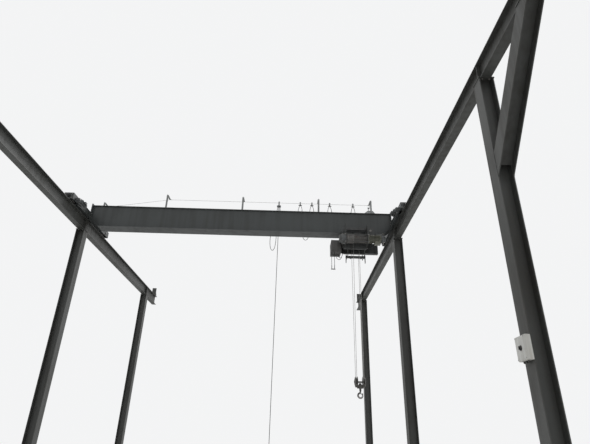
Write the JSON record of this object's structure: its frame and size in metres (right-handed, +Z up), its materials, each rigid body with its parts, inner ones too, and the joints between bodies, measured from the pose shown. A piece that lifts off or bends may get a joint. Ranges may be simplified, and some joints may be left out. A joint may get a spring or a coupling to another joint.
{
  "type": "overhead bridge crane",
  "caption": "Top-running single-girder bridge crane on free-standing steel runways, with an underslung wire-rope hoist trolley, hook block and pendant control.",
  "frame": {"origin": "on the floor at the centre of the runway plan, midway between the two runways and midway along them", "axes": "+Z up, +Y along the runways, +X across the span towards the side where the hoist rests"},
  "size_m": [8.9, 20.8, 7.94],
  "materials": {
    "runway_steel": "satin dark grey paint",
    "rail_steel": "rolled bar with a bright running strip",
    "box_white": "pale grey powder coat",
    "bridge_steel": "satin near-black grey paint",
    "drive_paint": "satin grey enamel on cast housings",
    "buffer_rubber": "matt black",
    "wheel_steel": "machined tread, dull sides",
    "galvanised": "dull zinc",
    "cable_sheath": "matt black sheath",
    "pendant_yellow": "moulded shell",
    "trolley_steel": "satin dark grey paint",
    "cabinet_paint": "fine textured dark paint",
    "drum_steel": "greased machined steel",
    "rope_steel": "greased wire rope",
    "block_paint": "worn dark enamel",
    "hook_steel": "forged, worn bright in the bowl"
  },
  "bodies": {
    "structure": {"column_left_1": "runway_steel", "column_left_2": "runway_steel", "column_left_3": "runway_steel", "column_left_4": "runway_steel", "column_right_1": "runway_steel", "column_right_2": "runway_steel", "column_right_3": "runway_steel", "column_right_4": "runway_steel", "runway_beam_left": "runway_steel", "runway_beam_right": "runway_steel", "rail_left": "rail_steel", "rail_right": "rail_steel", "knee_braces_left": "runway_steel", "knee_braces_right": "runway_steel", "end_stops": "runway_steel", "isolator_box": "box_white"},
    "bridge": {"bridge_girder": "bridge_steel", "end_truck_left": "bridge_steel", "end_truck_right": "bridge_steel", "travel_motor_left": "drive_paint", "travel_motor_right": "drive_paint", "truck_buffers": "buffer_rubber", "festoon_posts": "galvanised", "festoon_wire": "galvanised", "festoon_carriers": "galvanised", "festoon_cable": "cable_sheath", "pendant_cable": "cable_sheath", "pendant_station": "pendant_yellow"},
    "wheel_left_near": {"bridge_wheel_left_near": "wheel_steel"},
    "wheel_left_far": {"bridge_wheel_left_far": "wheel_steel"},
    "wheel_right_near": {"bridge_wheel_right_near": "wheel_steel"},
    "wheel_right_far": {"bridge_wheel_right_far": "wheel_steel"},
    "trolley": {"trolley_frame": "trolley_steel", "trolley_wheels": "wheel_steel", "hoist_frame": "trolley_steel", "hoist_gearbox": "drive_paint", "hoist_motor": "drive_paint", "hoist_brake": "drive_paint", "trolley_drive": "drive_paint", "counterweight": "trolley_steel", "control_cabinet": "cabinet_paint", "reeving_frame": "trolley_steel", "upper_sheave": "drum_steel", "rope_guard": "trolley_steel", "limit_rods": "galvanised"},
    "drum": {"rope_drum": "drum_steel"},
    "block": {"hook_block": "block_paint", "block_sheaves": "drum_steel", "hoist_ropes": "rope_steel"},
    "hook": {"load_hook": "hook_steel"}
  },
  "joints": [
    {"name": "bridge_travel", "type": "slide", "parent": "structure", "child": "bridge", "axis": [0, 1, 0], "range_m": [-11.95, 5.65]},
    {"name": "wheel_left_near_spin", "type": "hinge", "parent": "bridge", "child": "wheel_left_near", "pos_m": [-4.25, 2.1, 7.0403], "axis": [1, 0, 0], "range_deg": [-4060, 8570]},
    {"name": "wheel_left_far_spin", "type": "hinge", "parent": "bridge", "child": "wheel_left_far", "pos_m": [-4.25, 4.2, 7.0403], "axis": [1, 0, 0], "range_deg": [-4060, 8570]},
    {"name": "wheel_right_near_spin", "type": "hinge", "parent": "bridge", "child": "wheel_right_near", "pos_m": [4.25, 2.1, 7.0403], "axis": [1, 0, 0], "range_deg": [-4060, 8570]},
    {"name": "wheel_right_far_spin", "type": "hinge", "parent": "bridge", "child": "wheel_right_far", "pos_m": [4.25, 4.2, 7.0403], "axis": [1, 0, 0], "range_deg": [-4060, 8570]},
    {"name": "trolley_travel", "type": "slide", "parent": "bridge", "child": "trolley", "axis": [1, 0, 0], "range_m": [-6.49, 0.15]},
    {"name": "hoist_lift", "type": "slide", "parent": "trolley", "child": "block", "axis": [0, 0, 1], "range_m": [-2.2, 2.6], "deforming": ["hoist_ropes"]},
    {"name": "drum_spin", "type": "hinge", "parent": "trolley", "child": "drum", "pos_m": [3.19, 2.76, 6.475], "axis": [1, 0, 0], "range_deg": [-4110, 4855]},
    {"name": "hook_swivel", "type": "hinge", "parent": "block", "child": "hook", "pos_m": [3.13, 3.15, 2.8], "axis": [0, 0, 1], "continuous": true}
  ],
  "couplings": [
    {"joint": "wheel_left_near_spin", "follows": "bridge_travel", "rad_per_m": -12.5},
    {"joint": "wheel_left_far_spin", "follows": "bridge_travel", "rad_per_m": -12.5},
    {"joint": "wheel_right_near_spin", "follows": "bridge_travel", "rad_per_m": -12.5},
    {"joint": "wheel_right_far_spin", "follows": "bridge_travel", "rad_per_m": -12.5},
    {"joint": "drum_spin", "follows": "hoist_lift", "rad_per_m": 32.5}
  ]
}
